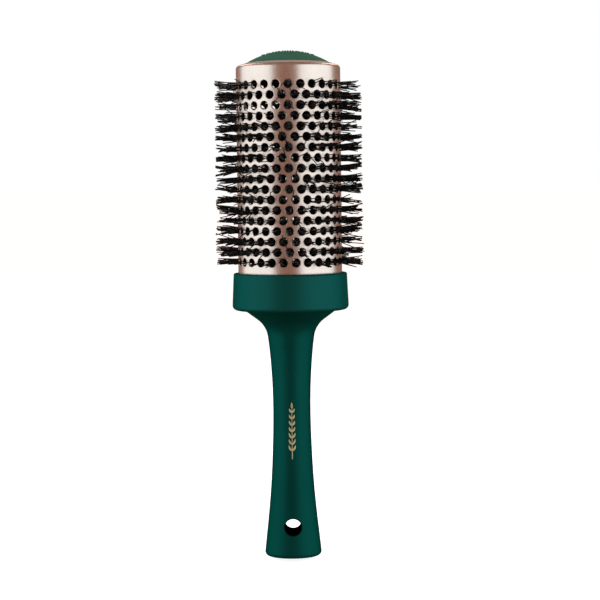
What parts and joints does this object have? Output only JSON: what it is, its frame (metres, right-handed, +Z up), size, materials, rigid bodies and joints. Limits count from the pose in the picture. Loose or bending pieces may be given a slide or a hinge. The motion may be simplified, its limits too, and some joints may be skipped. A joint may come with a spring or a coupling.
{
  "type": "round barrel brush",
  "caption": "Round barrel hair brush: perforated metal barrel, nylon bristles on a twisted wire core, domed end cap and a one-piece handle with a hang hole.",
  "frame": {"origin": "centre of the flat underside of the handle's tail, on the brush's axis", "axes": "+Z up the brush's axis from the tail to the end cap, -Y the front, +X to the right seen from the front; the hang hole runs along Y"},
  "size_m": [0.0752, 0.0752, 0.2581],
  "materials": {
    "handle_green": "dark green soft-touch coating, satin",
    "cap_green": "lighter green moulded plastic, satin",
    "barrel_metal": "rose-gold anodised or lacquered, satin with a fine grain",
    "holder_black": "black moulded plastic",
    "core_steel": "drawn steel wire",
    "bristle_nylon": "black nylon filament, slight sheen"
  },
  "bodies": {
    "root": {"handle": "handle_green", "barrel": "barrel_metal", "end_cap": "cap_green", "bottom_holder": "holder_black", "top_holder": "holder_black", "core_wire_a": "core_steel", "core_wire_b": "core_steel", "bristle_row_01": "bristle_nylon", "bristle_row_02": "bristle_nylon", "bristle_row_03": "bristle_nylon", "bristle_row_04": "bristle_nylon", "bristle_row_05": "bristle_nylon", "bristle_row_06": "bristle_nylon", "bristle_row_07": "bristle_nylon", "bristle_row_08": "bristle_nylon", "bristle_row_09": "bristle_nylon", "bristle_row_10": "bristle_nylon", "bristle_row_11": "bristle_nylon", "bristle_row_12": "bristle_nylon", "bristle_row_13": "bristle_nylon", "bristle_row_14": "bristle_nylon", "bristle_row_15": "bristle_nylon", "bristle_row_16": "bristle_nylon", "bristle_row_17": "bristle_nylon", "bristle_row_18": "bristle_nylon"}
  },
  "joints": []
}
